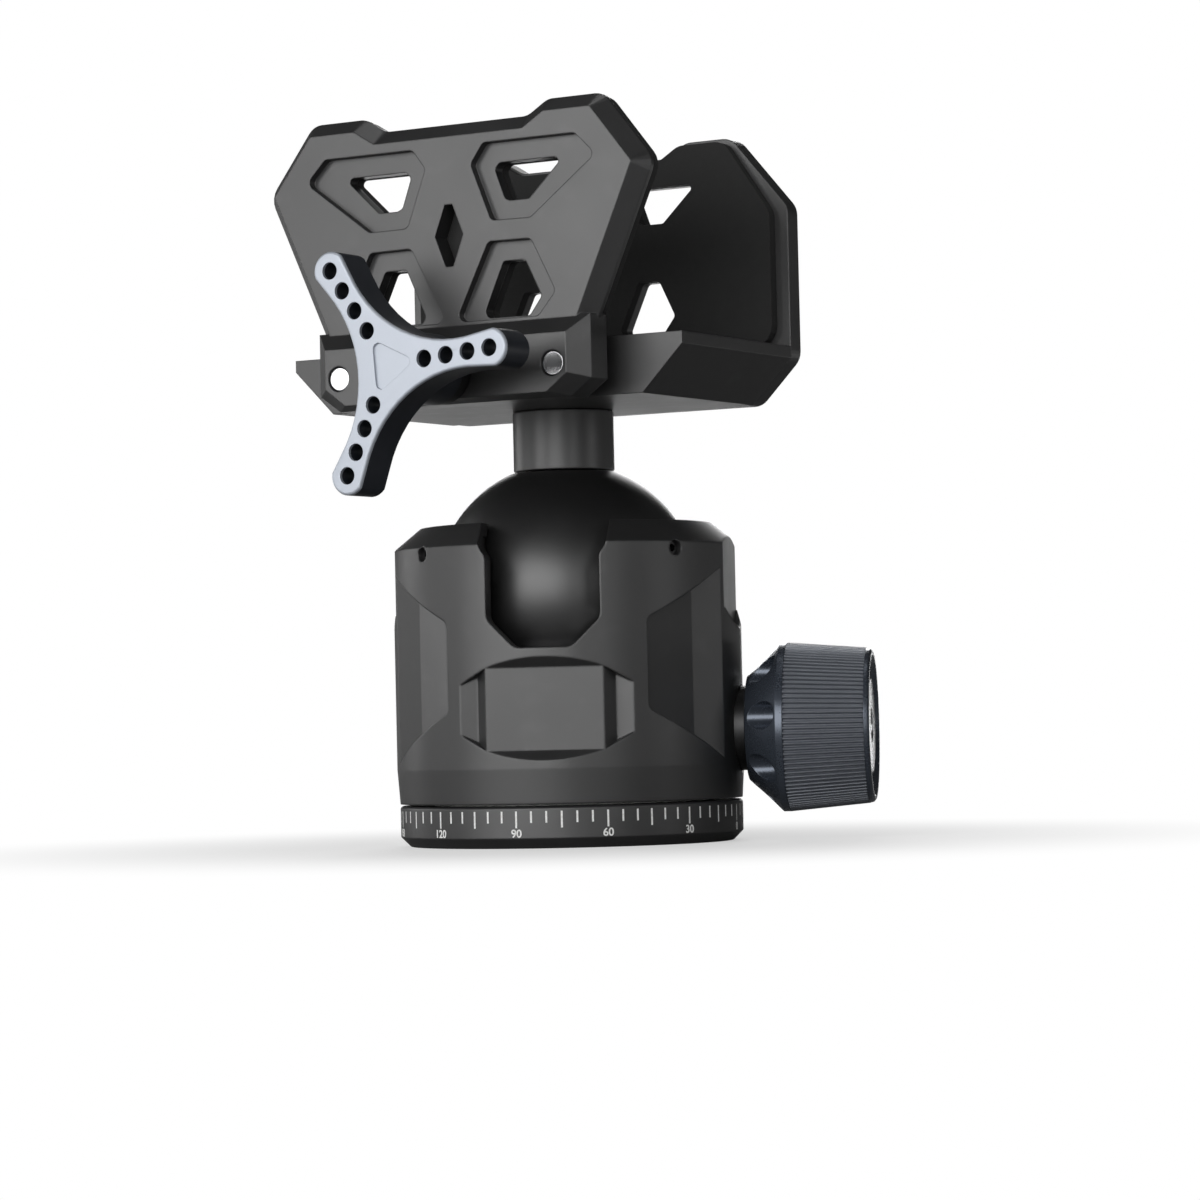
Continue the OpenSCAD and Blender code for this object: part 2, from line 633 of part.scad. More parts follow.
module jaw_openings(first, last) {
    for (s = [-1, 1]) scale([s, 1, 1]) {
        upright(first, last) translate([0, rise]) polygon(rounded([[11.35, 64], [7, 54.5], [7.6, 53.1],
            [17.2, 53], [20, 56.6], [16.4, 64]], opening_corner_r));
        upright(first, last) translate([0, rise]) polygon(rounded([[11, 83.4], [9.8, 82.2], [12, 76.3],
            [13.2, 75.8], [17.6, 75.8], [24.6, 82.4], [24, 83.4]], opening_corner_r));
    }
}

module jaw_diamond(first, last) {
    upright(first, last) translate([0, rise]) polygon(mirrored([[0.9, 63.7], [3.3, 69.8], [0.9, 75.9]]));
}

// half outline of a jaw's upper end, from the wide tip to the middle of the top
function jaw_head() = [[32.7, rise + jaw_top], [22.2, rise + jaw_top], [17.4, rise + jaw_top - 2.9]];

module rear_jaw() {
    color([0.12, 0.12, 0.13]) difference() {
        upright(saddle_rear, rear_face) polygon(rounded(mirrored(concat([[saddle_half - bevel_x, saddle_z],
            [saddle_half, saddle_top - saddle_side_h], [saddle_half, rise + jaw_top - 15]], jaw_head())),
            jaw_corner_r));
        jaw_openings(saddle_rear - 1, rear_face + 1);
        jaw_pockets(rear_face - pocket_depth, rear_face + 1);
        jaw_diamond(saddle_rear - 1, rear_face + 1);
        for (x = jaw_screw_x) {
            bar(x, rod_z, jaw_screw_r, saddle_rear - 1, rear_face + 1);
            translate([x, rear_face - 2, rod_z]) rotate([-90, 0, 0])
                cylinder(r1 = jaw_screw_r, r2 = jaw_screw_r + 2.2, h = 2.2);
        }
    }
}

module rear_pad() {
    color([0.05, 0.05, 0.05]) difference() {
        upright(saddle_rear - pad_t, saddle_rear) polygon(rounded(mirrored(concat([
            [saddle_half - 3, saddle_top + 0.3], [saddle_half - 3, rise + jaw_top - 16]],
            [for (p = jaw_head()) p - [0.6, 0.8]])), jaw_corner_r));
        jaw_openings(saddle_rear - pad_t - 1, saddle_rear + 1);
    }
}

module rear_jaw_screws() {
    color([0.25, 0.25, 0.26]) for (x = jaw_screw_x) difference() {
        union() {
            bar(x, rod_z, jaw_screw_r, saddle_rear - 8.5, rear_face - 1);
            translate([x, rear_face - 2, rod_z]) rotate([-90, 0, 0])
                cylinder(r1 = jaw_screw_r, r2 = jaw_screw_r + 1.9, h = 1.9);
        }
        translate([x, rear_face - 1.5, rod_z]) rotate([-90, 0, 0]) cylinder(r = 1.2, h = 3, $fn = 6);
    }
}

module front_jaw() {
    outline = mirrored(concat([[24, saddle_z + 4], [41.7, rise + 80.9]], jaw_head()));
    face = rounded(outline, jaw_corner_r / 6);
    wide = rounded(grow(outline, jaw_bevel), jaw_corner_r);
    foot = mirrored([[23.4, saddle_z + 0.1], [28.1, saddle_z + 3.6], [28.1, saddle_top]]);
    block = mirrored([[27, saddle_z - 0.7], [31.7, saddle_z + 2.6], [31.7, saddle_top + 3.6]]);
    color([0.13, 0.13, 0.14]) difference() {
        union() {
            stack([face, wide, wide], [jaw_front, jaw_front + jaw_bevel_depth, jaw_back]);
            stack([foot, block, block], [foot_front, foot_front + 3.6, foot_back]);
        }
        jaw_openings(jaw_front - 1, jaw_back + 1);
        jaw_pockets(jaw_front - 1, jaw_front + pocket_depth);
        jaw_diamond(jaw_front - 1, jaw_back + 1);
        for (x = [-rod_x, rod_x]) bar(x, rod_z, rod_r, foot_front - 1, foot_back + 1);
        bar(0, rod_z, screw_r + run_gap, foot_front - 1, foot_back + 1);
        bar(0, rod_z, clip_r + run_gap, foot_back - clip_t - 2 * run_gap, foot_back + 1);
    }
}

module front_pad() {
    outline = rounded(grow(mirrored(concat([[29.4, rise + 53.6], [41.7, rise + 80.9]], jaw_head())),
        jaw_bevel - 0.3), jaw_corner_r);
    color([0.05, 0.05, 0.05]) difference() {
        upright(jaw_back, jaw_back + pad_t) polygon([for (p = outline) [p[0], max(p[1], saddle_top + 4)]]);
        jaw_openings(jaw_back - 1, jaw_back + pad_t + 1);
    }
}

module guide_rods() {
    color([0.78, 0.78, 0.8]) for (x = [-rod_x, rod_x])
        bar(x, rod_z, rod_r, foot_front + 0.4, saddle_rear - 6);
}

module clamp_knob() {
    arc = arm_arc_r;
    reach = arm_waist_r + arc;
    swing = asin(arm_r * sin(60) / (arc + arm_end_r));
    // one arm end and one hollow flank, repeated at each third
    outline = [for (k = [0 : 2]) let (t = arm_turn + 120 * k) each concat(
        [for (i = [0 : 12]) let (a = t - 120 + swing + (240 - 2 * swing) * i / 12)
            [arm_r * cos(t) + arm_end_r * cos(a), arm_r * sin(t) + arm_end_r * sin(a)]],
        [for (i = [1 : 15]) let (a = t + 60 + 180 + swing * (1 - i / 8))
            [reach * cos(t + 60) + arc * cos(a), reach * sin(t + 60) + arc * sin(a)]])];
    color([0.6, 0.62, 0.66]) difference() {
        union() {
            upright(arm_front, hub_front) translate([0, rod_z]) polygon(outline);
            bar(0, rod_z, 7, arm_front + 2, hub_back);
        }
        for (k = [0 : 2]) for (i = [0 : 3]) let (t = arm_turn + 120 * k, r = arm_r - i * arm_pitch)
            bar(r * cos(t), rod_z + r * sin(t), arm_hole_r, arm_front - 1, hub_front + 1);
        upright(arm_front - 1, arm_front + 0.6) translate([0, rod_z]) polygon(rounded(
            [for (t = [arm_turn : 120 : arm_turn + 240]) recess_r * [cos(t), sin(t)]], 1.2));
        bar(0, rod_z, screw_r, arm_front + 2, hub_back + 1);
    }
}

module lead_screw() {
    color([0.65, 0.65, 0.68]) bar(0, rod_z, screw_r, arm_front + 2, saddle_rear - 6.6);
}

module thrust_washer() {
    color([0.72, 0.6, 0.34]) difference() {
        bar(0, rod_z, 6.6, hub_back, foot_front - run_gap);
        bar(0, rod_z, screw_r, hub_back - 1, foot_front + 1);
    }
}

module screw_clip() {
    color([0.5, 0.5, 0.52]) difference() {
        bar(0, rod_z, clip_r, foot_back - clip_t - run_gap, foot_back - run_gap);
        bar(0, rod_z, screw_r, foot_back - 5, foot_back + 1);
    }
}

base_plate();
dial_ring();
thread_bush();
pan_washer();
pan_retainer();
retainer_screws();
housing();
bottom_cover();
slip_washer();
ball_race();
race_screws();
cup_spring();
lock_bush();
pan_pad();
lower_cup();
lock_wedge();
lock_knob();
knob_grip();
lock_shaft();
knob_pin();
tension_dial();
tension_screw();
pan_knob();
pan_screw();
seat_liner();
ball();
stem();
saddle_base();
saddle_screws();
lead_nut();
rod_bushes();
rear_jaw();
rear_pad();
rear_jaw_screws();
front_jaw();
front_pad();
guide_rods();
clamp_knob();
lead_screw();
thrust_washer();
screw_clip();
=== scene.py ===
import json
import math

import bpy
from mathutils import Matrix, Vector


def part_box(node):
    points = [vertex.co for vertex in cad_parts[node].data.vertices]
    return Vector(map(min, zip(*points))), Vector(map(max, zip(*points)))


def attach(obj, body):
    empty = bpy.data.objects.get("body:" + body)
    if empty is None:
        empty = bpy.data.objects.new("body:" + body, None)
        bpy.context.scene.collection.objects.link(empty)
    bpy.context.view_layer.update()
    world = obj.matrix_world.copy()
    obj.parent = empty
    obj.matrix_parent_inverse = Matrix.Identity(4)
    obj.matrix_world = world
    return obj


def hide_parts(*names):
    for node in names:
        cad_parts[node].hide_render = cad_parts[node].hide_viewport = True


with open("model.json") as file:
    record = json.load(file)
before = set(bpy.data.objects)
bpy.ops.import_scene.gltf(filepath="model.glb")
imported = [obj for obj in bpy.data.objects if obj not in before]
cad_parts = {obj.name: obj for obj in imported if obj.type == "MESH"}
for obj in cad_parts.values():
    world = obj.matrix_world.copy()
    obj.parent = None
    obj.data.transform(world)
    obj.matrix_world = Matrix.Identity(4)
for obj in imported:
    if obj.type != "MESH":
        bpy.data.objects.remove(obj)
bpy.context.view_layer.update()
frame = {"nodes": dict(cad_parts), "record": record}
MM = 0.001

# Base plate and degree ring: turned aluminium, bead blasted and anodised satin black. The plate is
# pressed into the ring, and the ring's outer corner is broken by a small chamfer.


class Socket:
    """One output of a material's nodes. Arithmetic on it adds Math nodes."""

    def __init__(self, tree, output=None):
        self.tree = tree
        self.output = output

    def node(self, kind, settings, inputs, output=0):
        """Any node: its settings are set first, then the values or links of its sockets."""
        made = self.tree.nodes.new("ShaderNode" + kind)
        for name, value in settings.items():
            if name == "stops":
                while len(made.color_ramp.elements) < len(value):
                    made.color_ramp.elements.new(0.5)
                for stop, (place, grey) in zip(made.color_ramp.elements, value):
                    stop.position = place
                    stop.color = (grey, grey, grey, 1)
            else:
                setattr(made, name, value)
        for key, value in inputs.items():
            if isinstance(value, Socket):
                self.tree.links.new(value.output, made.inputs[key])
            else:
                made.inputs[key].default_value = value
        return Socket(self.tree, made.outputs[output])

    def maths(self, operation, *values):
        return self.node("Math", {"operation": operation}, dict(enumerate(values)))

    def mix(self, low, high):
        """Two colours mixed by this value."""
        return self.node("Mix", {"data_type": "RGBA"}, {0: self, 6: low, 7: high}, 2)

    def __add__(self, other):
        return self.maths("ADD", self, other)

    def __sub__(self, other):
        return self.maths("SUBTRACT", self, other)

    def __rsub__(self, other):
        return self.maths("SUBTRACT", other, self)

    def __mul__(self, other):
        return self.maths("MULTIPLY", self, other)

    def __lt__(self, other):
        return self.maths("LESS_THAN", self, other)

    __radd__ = __add__
    __rmul__ = __mul__


def new_material(name):
    """A material with a principled shader: returns it, a socket to start from and the shader."""
    material = bpy.data.materials.new(name)
    material.use_nodes = True
    tree = material.node_tree
    return material, Socket(tree), tree.nodes["Principled BSDF"]


def feed(shader, nodes, inputs):
    """Links or sets the shader's own sockets."""
    for key, value in inputs.items():
        if isinstance(value, Socket):
            nodes.tree.links.new(value.output, shader.inputs[key])
        else:
            shader.inputs[key].default_value = value


def noise(nodes, grain, detail=2.0):
    """Even noise from 0 to 1 whose blotches are about this many metres across."""
    place = nodes.node("TexCoord", {}, {}, "Object")
    return nodes.node("TexNoise", {}, {"Vector": place, "Scale": 1 / grain, "Detail": detail})


def worn_bump(nodes, height, strength, depth, edge):
    """A fine relief on a surface whose sharp edges are rounded off by this radius."""
    broken = nodes.node("Bevel", {"samples": 6}, {"Radius": edge})
    return nodes.node("Bump", {}, {"Strength": strength, "Distance": depth, "Height": height,
                                   "Normal": broken})


CLOUD_SIZE = 14 * MM
RUB_SIZE = 5 * MM


def blasted(name, dark, light, rough, metal=0.0, grain=0.35 * MM, depth=0.02 * MM, edge=0.3 * MM):
    """Bead blasted and anodised aluminium: fine pits, a little cloudiness, rubbed patches."""
    material, nodes, shader = new_material(name)
    pits = noise(nodes, grain)
    clouds = noise(nodes, CLOUD_SIZE, 3.0)
    rubbed = nodes.node("ValToRGB", {"stops": [(0.56, 0), (0.82, 1)]},
                        {"Fac": noise(nodes, RUB_SIZE, 5.0)})
    tone = clouds * 0.6 + pits * 0.25 + rubbed * 0.25
    feed(shader, nodes, {
        "Base Color": tone.mix(dark, light),
        "Roughness": rough + (clouds - 0.5) * 0.1 + (pits - 0.5) * 0.06 - rubbed * 0.05,
        "Normal": worn_bump(nodes, pits, 0.35, depth, edge),
        "Metallic": metal,
        "Specular IOR Level": 1.0,
    })
    return material


def body_of(node):
    """The moving body that a CAD node belongs to."""
    bodies = frame["record"]["behaviour"]["bodies"]
    return next(body for body, nodes in bodies.items() if node in nodes)


def slot_of(node):
    """The record's material slot of a CAD node."""
    return next(part["material_slot"] for part in frame["record"]["subparts"] if part["node"] == node)


def dress(node, material):
    """A CAD node that keeps its own mesh gets its finish."""
    mesh = frame["nodes"][node].data
    mesh.materials.clear()
    mesh.materials.append(material)


MERGE = 0.002 * MM
FLAT_ENOUGH = math.radians(0.4)


def start_copy(node, name):
    """A merged copy of a CAD node as a piece of its own, left in edit mode with nothing selected."""
    bpy.ops.object.select_all(action="DESELECT")
    piece = bpy.data.objects.new(name, frame["nodes"][node].data.copy())
    bpy.context.scene.collection.objects.link(piece)
    bpy.context.view_layer.objects.active = piece
    piece.select_set(True)
    bpy.ops.mesh.customdata_custom_splitnormals_clear()
    bpy.ops.object.mode_set(mode="EDIT")
    bpy.ops.mesh.select_all(action="SELECT")
    bpy.ops.mesh.remove_doubles(threshold=MERGE)
    bpy.ops.mesh.dissolve_limited(angle_limit=FLAT_ENOUGH)
    bpy.ops.mesh.select_all(action="DESELECT")
    return piece


SHARP = math.radians(30)
SMOOTH = math.radians(35)


def finish_copy(piece, node, material, edge=0.25 * MM, rings=2):
    """Breaks the sharp edges that are left, and puts the copy in its CAD node's place."""
    bpy.ops.object.mode_set(mode="OBJECT")
    soft = piece.modifiers.new("edges", "BEVEL")
    soft.width = edge
    soft.segments = rings
    soft.limit_method = "ANGLE"
    soft.angle_limit = SHARP
    soft.use_clamp_overlap = False
    bpy.ops.object.modifier_apply(modifier=soft.name)
    bpy.ops.object.shade_smooth_by_angle(angle=SMOOTH)
    flat = piece.modifiers.new("flat", "WEIGHTED_NORMAL")
    flat.keep_sharp = True
    bpy.ops.object.modifier_apply(modifier=flat.name)
    piece.data.materials.clear()
    piece.data.materials.append(material)
    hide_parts(node)
    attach(piece, body_of(node))


BLACK = (0.010, 0.010, 0.0103, 1)
SHEEN = (0.026, 0.026, 0.0267, 1)
SATIN = 0.44
black_anodised = blasted("black_anodised", BLACK, SHEEN, SATIN)
dress("base_plate", black_anodised)
finish_copy(start_copy("dial_ring", "degree_ring"), "dial_ring", black_anodised, 0.15 * MM)

# Degree marks: white paint wiped into engraved lines round the ring, one each five degrees and a
# longer one each fifteen, with plain numbers each thirty that rise clockwise from above.

ring_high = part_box("dial_ring")[1]
ring_r = ring_high.x
ZERO_AT = 13
MARK_W = 0.38 * MM
MARK_LONG = 3.3 * MM
MARK_SHORT = 2.3 * MM
MARK_TOP = ring_high.z - 0.9 * MM
NUMBER_Z = 2.95 * MM
NUMBER_H = 2.2 * MM
NUMBER_BOLD = 0.045 * MM
PAINT = 0.02 * MM

dial_paint, nodes, shader = new_material("dial_paint")
worn = nodes.node("ValToRGB", {"stops": [(0.3, 0), (0.62, 1)]}, {"Fac": noise(nodes, 0.5 * MM, 4.0)})
feed(shader, nodes, {
    "Base Color": worn.mix((0.72, 0.72, 0.7, 1), (0.92, 0.92, 0.91, 1)),
    "Roughness": 0.75 - worn * 0.2,
    "Normal": nodes.node("Bump", {}, {"Strength": 0.2, "Distance": PAINT, "Height": worn}),
})


def on_ring(degree, z):
    """The place on the ring's side at a degree of the dial, with x along the ring and y up."""
    angle = math.radians(ZERO_AT - degree)
    out = Vector((math.cos(angle), math.sin(angle), 0))
    return Matrix((
        (-out.y, 0, out.x, out.x * ring_r),
        (out.x, 0, out.y, out.y * ring_r),
        (0, 1, 0, z),
        (0, 0, 0, 1),
    ))


def join_marks(objects, name):
    """One piece of the base from many small ones, with their places in its mesh."""
    bpy.ops.object.select_all(action="DESELECT")
    for mark in objects:
        mark.select_set(True)
    bpy.context.view_layer.objects.active = objects[0]
    bpy.ops.object.transform_apply(location=True, rotation=True, scale=True)
    bpy.ops.object.join()
    piece = bpy.context.view_layer.objects.active
    bpy.ops.object.transform_apply(location=True, rotation=True, scale=True)
    piece.name = name
    piece.data.materials.clear()
    piece.data.materials.append(dial_paint)
    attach(piece, "base")


marks = []
for degree in range(0, 360, 5):
    length = MARK_LONG if degree % 15 == 0 else MARK_SHORT
    bpy.ops.mesh.primitive_plane_add(size=1)
    mark = bpy.context.object
    bpy.ops.object.mode_set(mode="EDIT")
    bpy.ops.mesh.select_all(action="SELECT")
    bpy.ops.transform.resize(value=(MARK_W, length, 1))
    bpy.ops.mesh.inset(thickness=0.05 * MM)
    bpy.ops.mesh.select_all(action="SELECT")
    bpy.ops.mesh.extrude_region_move(TRANSFORM_OT_translate={"value": (0, 0, PAINT)})
    bpy.ops.mesh.select_all(action="SELECT")
    bpy.ops.mesh.normals_make_consistent(inside=False)
    bpy.ops.object.mode_set(mode="OBJECT")
    mark.matrix_world = on_ring(degree, MARK_TOP - length / 2)
    marks.append(mark)
join_marks(marks, "degree_marks")

numbers = []
for degree in range(0, 360, 30):
    bpy.ops.object.text_add()
    number = bpy.context.object
    number.data.body = str(degree)
    number.data.size = NUMBER_H
    number.data.align_x = "CENTER"
    number.data.align_y = "CENTER"
    number.data.extrude = PAINT
    number.data.offset = NUMBER_BOLD
    bpy.ops.object.select_all(action="DESELECT")
    number.select_set(True)
    bpy.context.view_layer.objects.active = number
    bpy.ops.object.convert(target="MESH")
    number = bpy.context.object
    number.matrix_world = on_ring(degree, NUMBER_Z)
    numbers.append(number)
join_marks(numbers, "degree_numbers")

# Pan bearing, ball seat, wedge and screws inside: plain turned steel, brass and acetal. They are hidden
# when the head is whole, apart from screw heads, the tripod hole and the race's edge at the notch.

RINGS_PER_M = 900
STAIN_SIZE = 4 * MM
FLOW_SIZE = 6 * MM


def turned(name, base, dim, rough, relief=0.15):
    """Machined metal with fine turning rings and a little staining."""
    made, nodes, shader = new_material(name)
    place = nodes.node("TexCoord", {}, {}, "Object")
    rings = nodes.node("TexWave", {"wave_type": "RINGS", "rings_direction": "SPHERICAL"},
                       {"Vector": place, "Scale": RINGS_PER_M, "Distortion": 0.6, "Detail": 1.0})
    stain = noise(nodes, STAIN_SIZE, 4.0)
    feed(shader, nodes, {
        "Base Color": (stain * 0.7 + rings * relief).mix(dim, base),
        "Roughness": rough + (stain - 0.5) * 0.15 + rings * relief * 0.3,
        "Normal": nodes.node("Bump", {}, {"Strength": relief, "Distance": 0.01 * MM, "Height": rings}),
        "Metallic": 1.0,
    })
    return made


def acetal(name, dark, light):
    """Turned acetal: a smooth, slightly waxy plastic with faint flow clouds."""
    made, nodes, shader = new_material(name)
    flow = noise(nodes, FLOW_SIZE, 3.0)
    feed(shader, nodes, {
        "Base Color": flow.mix(dark, light),
        "Roughness": 0.38 + flow * 0.12,
    })
    return made


steel = turned("steel", (0.62, 0.62, 0.63, 1), (0.45, 0.45, 0.46, 1), 0.32)
bright_steel = turned("bright_steel", (0.76, 0.76, 0.77, 1), (0.58, 0.58, 0.6, 1), 0.24, 0.03)
black_steel = turned("black_steel", (0.085, 0.085, 0.087, 1), (0.04, 0.04, 0.04, 1), 0.42)
brass = turned("brass", (0.8, 0.62, 0.3, 1), (0.6, 0.44, 0.2, 1), 0.3)
bare_aluminium = turned("bare_aluminium", (0.72, 0.72, 0.74, 1), (0.55, 0.55, 0.57, 1), 0.38)
white_acetal = acetal("white_acetal", (0.7, 0.7, 0.67, 1), (0.8, 0.8, 0.78, 1))
black_acetal = acetal("black_acetal", (0.008, 0.008, 0.008, 1), (0.016, 0.016, 0.016, 1))

finishes = {"steel": steel, "bright_steel": bright_steel, "black_steel": black_steel, "brass": brass,
            "bare_aluminium": bare_aluminium, "white_acetal": white_acetal, "black_acetal": black_acetal,
            "black_anodised": black_anodised}
inner_pieces = ["thread_bush", "pan_washer", "pan_retainer", "retainer_screws", "bottom_cover",
                "slip_washer", "ball_race", "race_screws", "cup_spring", "pan_pad", "lower_cup",
                "lock_wedge", "lock_shaft", "knob_pin", "tension_screw", "pan_screw", "seat_liner",
                "saddle_screws", "lead_nut", "rod_bushes", "rear_jaw_screws", "lead_screw",
                "thrust_washer", "screw_clip"]
for node in inner_pieces:
    dress(node, finishes[slot_of(node)])

# Housing: one piece of aluminium, turned and then milled for the drop notch, the side pockets and the
# badge flat, which stays bare. It is bead blasted and anodised, and turns on the base's hub.

housing_black = blasted("housing_black", BLACK, SHEEN, SATIN, edge=0.6 * MM)
dress("housing", housing_black)

# Ball and stem: a turned aluminium ball with a finer, smoother blast than the housing, so that it
# slides in its seat, and the stem that is screwed into it and carries the saddle.

ball_black = blasted("ball_black", (0.006, 0.006, 0.0062, 1), (0.014, 0.014, 0.0145, 1), 0.4,
                     grain=0.2 * MM, depth=0.01 * MM)
dress("ball", ball_black)
finish_copy(start_copy("stem", "stem_post"), "stem", ball_black, 0.4 * MM)

# Ball lock: a black steel bush in the housing, a slate blue anodised knob with finger scoops round its
# cone, a sleeve of fine ribs pressed on it, and a bright fluted tension dial in its end.

dress("lock_bush", black_steel)
slate_anodised = blasted("slate_anodised", (0.055, 0.066, 0.086, 1), (0.1, 0.118, 0.15, 1), 0.27, 0.6)
grip_anodised = blasted("grip_anodised", (0.1, 0.11, 0.128, 1), (0.18, 0.196, 0.225, 1), 0.33, 0.5)
dress("lock_knob", slate_anodised)
finish_copy(start_copy("knob_grip", "ribbed_grip"), "knob_grip", grip_anodised, 0.06 * MM, 1)
finish_copy(start_copy("tension_dial", "tension_wheel"), "tension_dial", bright_steel, 0.2 * MM)

# Pan lock: a small fluted aluminium knob at the back of the housing, pressed on its screw and in the
# same slate finish as the lock knob.

finish_copy(start_copy("pan_knob", "pan_knob_body"), "pan_knob", slate_anodised)

# Saddle: a milled aluminium block, bevelled at both ends, screwed down on the stem by four countersunk
# screws. Its underside and ends carry the same black finish as the base.

dress("saddle_base", black_anodised)

# Jaws: milled plates with pockets and see-through openings. The front jaw has a wide bevel and a foot
# that rides on the rods, and the rear jaw is screwed to the back of the saddle.

jaw_black = blasted("jaw_black", BLACK, SHEEN, 0.42, edge=0.4 * MM)
dress("front_jaw", jaw_black)
dress("rear_jaw", jaw_black)

# Jaw pads: black rubber sheets with a fine pebbled skin, cut to the outline of the jaws and glued to
# their inside.

PEBBLE = 0.9 * MM
pad_rubber, nodes, shader = new_material("pad_rubber")
place = nodes.node("TexCoord", {}, {}, "Object")
pebbles = nodes.node("TexVoronoi", {}, {"Vector": place, "Scale": 1 / PEBBLE})
dust = noise(nodes, 3 * MM, 4.0)
feed(shader, nodes, {
    "Base Color": (dust * 0.8).mix((0.008, 0.008, 0.008, 1), (0.03, 0.03, 0.03, 1)),
    "Roughness": 0.72 + dust * 0.2,
    "Normal": nodes.node("Bump", {}, {"Strength": 0.4, "Distance": 0.06 * MM, "Height": 1 - pebbles}),
})
dress("front_pad", pad_rubber)
dress("rear_pad", pad_rubber)

# Guide rods: ground and polished steel, pressed into the front jaw's foot and running in bushes in
# the saddle. Their ends are rounded and show in the foot.

finish_copy(start_copy("guide_rods", "guide_rod_pair"), "guide_rods", bright_steel, 0.4 * MM, 3)

# Clamp knob: a three-armed aluminium star with drilled arms, screwed on the lead screw. Its face and
# chamfer are bright blue grey, and its flanks and back keep a dark navy anodised finish.

knob_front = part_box("clamp_knob")[0].y
screw_low, screw_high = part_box("lead_screw")
rod_z = (screw_low.z + screw_high.z) / 2 / MM
HOLE_OUTER = 23.07
HOLE_PITCH = 4.92
HOLE_R = 1.65
ARM_TURN = 4.5
RECESS_R = 5.2
FACE_DEPTH = 0.75 * MM
RIM_BEVEL = 0.6 * MM
star_holes = [(HOLE_OUTER - i * HOLE_PITCH, math.radians(ARM_TURN + 120 * k))
              for k in range(3) for i in range(4)]


def star_rim(a, b, turn):
    """An edge of the knob's front outline, away from its holes and its recess."""
    if max(abs(p.y - knob_front / MM) for p in (a, b)) > 0.01 or turn < 40:
        return False
    middle = (a + b) / 2
    x, z = middle.x, middle.z - rod_z
    if any(math.hypot(x - r * math.cos(t), z - r * math.sin(t)) < HOLE_R + 0.15 for r, t in star_holes):
        return False
    return math.hypot(x, z) > RECESS_R


def pick_edges(piece, wanted):
    """In edit mode, selects the edges whose two ends, in millimetres, and turn pass a test."""
    bpy.ops.object.mode_set(mode="OBJECT")
    mesh = piece.data
    faces = {}
    for face in mesh.polygons:
        for key in face.edge_keys:
            faces.setdefault(key, []).append(face.normal)
    for group in (mesh.polygons, mesh.edges, mesh.vertices):
        group.foreach_set("select", [False] * len(group))
    for edge in mesh.edges:
        sides = faces.get(edge.key, [])
        turn = math.degrees(sides[0].angle(sides[1], 0)) if len(sides) == 2 else 0
        a, b = (mesh.vertices[i].co / MM for i in edge.vertices)
        edge.select = wanted(a, b, turn)
    bpy.ops.object.mode_set(mode="EDIT")
    bpy.ops.mesh.select_mode(type="EDGE")


star_anodised, nodes, shader = new_material("star_anodised")
place = nodes.node("TexCoord", {}, {}, "Object")
depth = nodes.node("SeparateXYZ", {}, {"Vector": place}, "Y")
face = depth < knob_front + FACE_DEPTH
pits = noise(nodes, 0.3 * MM)
clouds = noise(nodes, 9 * MM, 3.0)
tone = clouds * 0.7 + pits * 0.3
bright = tone.mix((0.43, 0.465, 0.525, 1), (0.53, 0.565, 0.625, 1))
navy = tone.mix((0.01, 0.012, 0.017, 1), (0.024, 0.028, 0.037, 1))
feed(shader, nodes, {
    "Base Color": face.mix(navy, bright),
    "Roughness": 0.42 + (clouds - 0.5) * 0.1,
    "Metallic": face * 0.3,
    "Normal": worn_bump(nodes, pits, 0.3, 0.015 * MM, 0.15 * MM),
})
star = start_copy("clamp_knob", "clamp_star")
pick_edges(star, star_rim)
bpy.ops.mesh.bevel(offset=RIM_BEVEL, segments=2, affect="EDGES", clamp_overlap=True)
finish_copy(star, "clamp_knob", star_anodised, 0.12 * MM)

# Studio: a pale floor and backdrop, one large soft light in front, another behind, weaker fills at the
# sides and above, and a long lens a little above the floor, as the photograph has it.

STUDIO = 6.0
SHADOW_R = 0.04
WHITE_R = 0.16
bpy.ops.object.select_all(action="DESELECT")
bpy.ops.mesh.primitive_plane_add(size=STUDIO)
floor = bpy.context.object
floor.name = "studio_floor"
floor_paper, nodes, shader = new_material("studio_paper")
seen = nodes.node("LightPath", {}, {}, "Is Camera Ray")
mirrored = nodes.node("LightPath", {}, {}, "Is Glossy Ray")
fibres = noise(nodes, 0.2).mix((0.86, 0.86, 0.86, 1), (0.9, 0.9, 0.9, 1))
feed(shader, nodes, {"Base Color": seen.mix((0.2, 0.2, 0.2, 1), fibres), "Roughness": 0.9})
place = nodes.node("TexCoord", {}, {}, "Object")
away = nodes.node("VectorMath", {"operation": "LENGTH"}, {0: place}, "Value")
far = nodes.node("MapRange", {"interpolation_type": "SMOOTHSTEP"},
                 {"Value": away, "From Min": SHADOW_R, "From Max": WHITE_R})
edge = nodes.node("MapRange", {"interpolation_type": "SMOOTHSTEP"},
                  {"Value": away, "From Min": 2 * WHITE_R, "From Max": 5 * WHITE_R})
paper = Socket(nodes.tree, shader.outputs["BSDF"])
white = nodes.node("Emission", {}, {"Color": (1, 1, 1, 1), "Strength": 1.0})
whiteness = seen * (0.5 + far * 0.5) + mirrored * edge * 0.8
both = nodes.node("MixShader", {}, {0: whiteness, 1: paper, 2: white})
nodes.tree.links.new(both.output, nodes.tree.nodes["Material Output"].inputs["Surface"])
floor.data.materials.append(floor_paper)

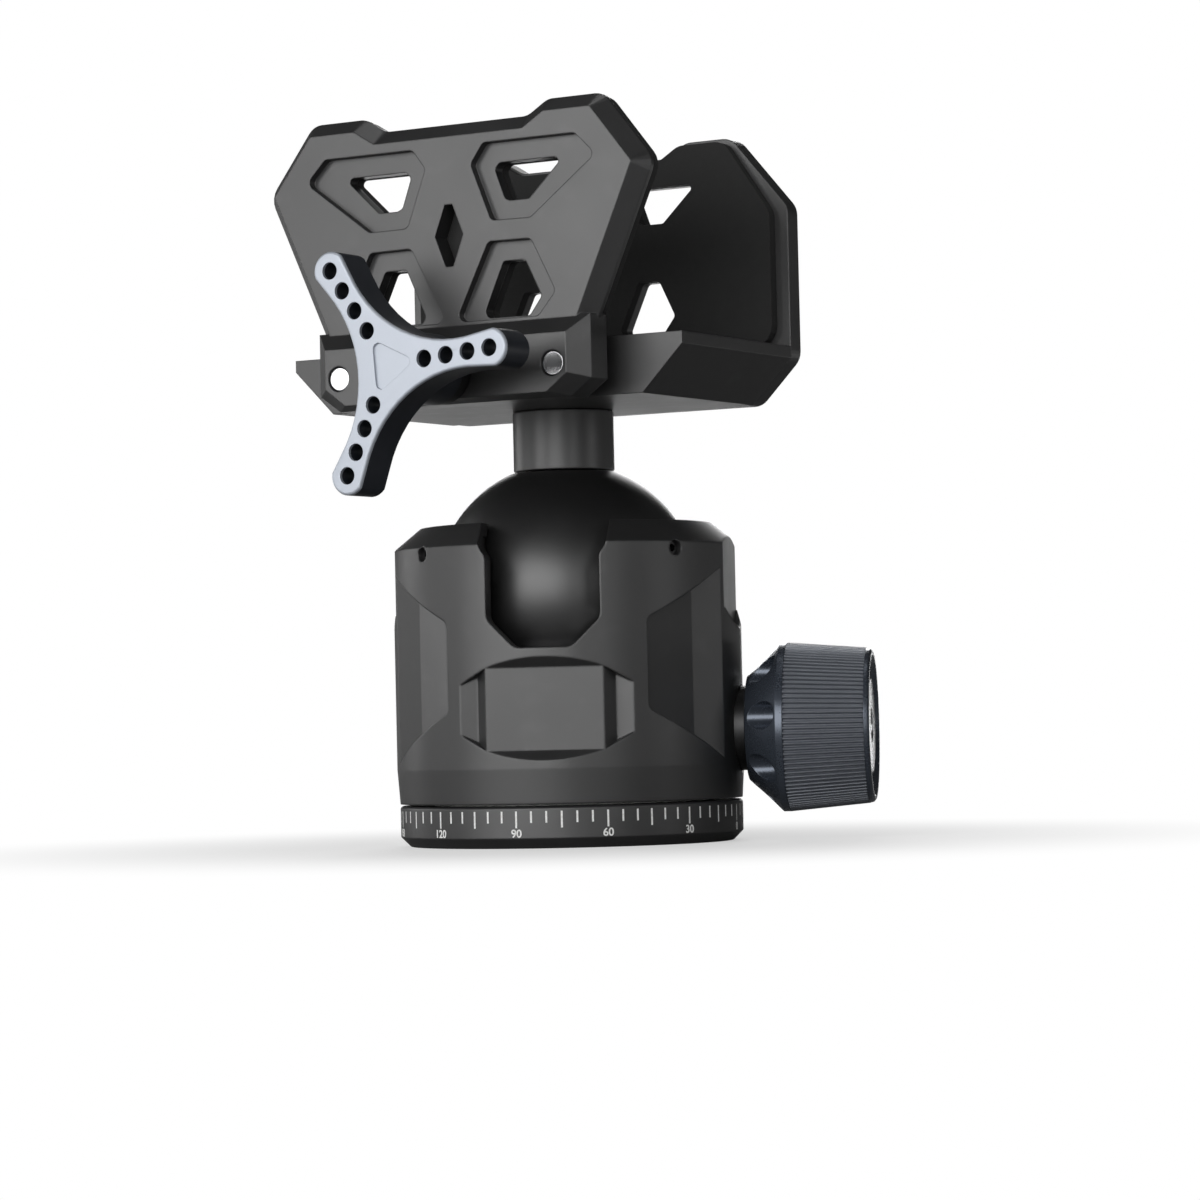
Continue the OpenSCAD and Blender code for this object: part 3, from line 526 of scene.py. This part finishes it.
world = bpy.data.worlds.new("studio")
bpy.context.scene.world = world
world.use_nodes = True
seen = Socket(world.node_tree).node("LightPath", {}, {}, "Is Camera Ray")
background = world.node_tree.nodes["Background"]
background.inputs["Color"].default_value = (1, 1, 1, 1)
world.node_tree.links.new((seen * 0.96 + 0.04).output, background.inputs["Strength"])

BALL = Vector((0, 0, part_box("ball")[0].z + 27 * MM))


def softbox(name, place, width, height, power):
    """A soft rectangular lamp that looks at the ball."""
    lamp = bpy.data.lights.new(name, "AREA")
    lamp.shape = "RECTANGLE"
    lamp.size = width
    lamp.size_y = height
    lamp.energy = power
    holder = bpy.data.objects.new(name, lamp)
    bpy.context.scene.collection.objects.link(holder)
    holder.location = place
    holder.rotation_euler = (BALL - Vector(place)).to_track_quat("-Z", "Y").to_euler()


softbox("key_light", (-0.06, -1.1, 0.2), 1.4, 0.8, 14)
softbox("front_fill", (1.0, -0.75, 0.15), 0.25, 0.9, 2.2)
softbox("left_fill", (-1.0, -0.6, 0.2), 0.3, 0.9, 1.5)
softbox("side_light", (-1.2, 0.05, 0.25), 0.35, 0.8, 2.2)
softbox("right_fill", (1.2, 0.15, 0.2), 0.3, 0.9, 1.4)
softbox("back_light", (-0.56, 1.05, 0.3), 0.5, 0.7, 7)
softbox("top_light", (0, 0.1, 1.3), 0.5, 0.5, 1.4)

CAMERA_AT = (0.4256, -0.6989, 0.02525)
YAW, PITCH, ROLL = (math.radians(angle) for angle in (30.87, 1.70, 1.31))
LENS = 119.82
turn = Matrix.Rotation(YAW, 3, "Z") @ Matrix.Rotation(PITCH, 3, "X") @ Matrix.Rotation(ROLL, 3, "Y")
camera = bpy.data.objects.new("camera", bpy.data.cameras.new("camera"))
bpy.context.scene.collection.objects.link(camera)
camera.data.lens = LENS
camera.data.sensor_width = 36
camera.data.clip_start = 0.01
camera.data.clip_end = 50
aim = Matrix((turn.col[0], turn.col[2], -turn.col[1])).transposed().to_4x4()
camera.matrix_world = Matrix.Translation(CAMERA_AT) @ aim
bpy.context.scene.camera = camera
bpy.context.scene.view_settings.view_transform = "Standard"
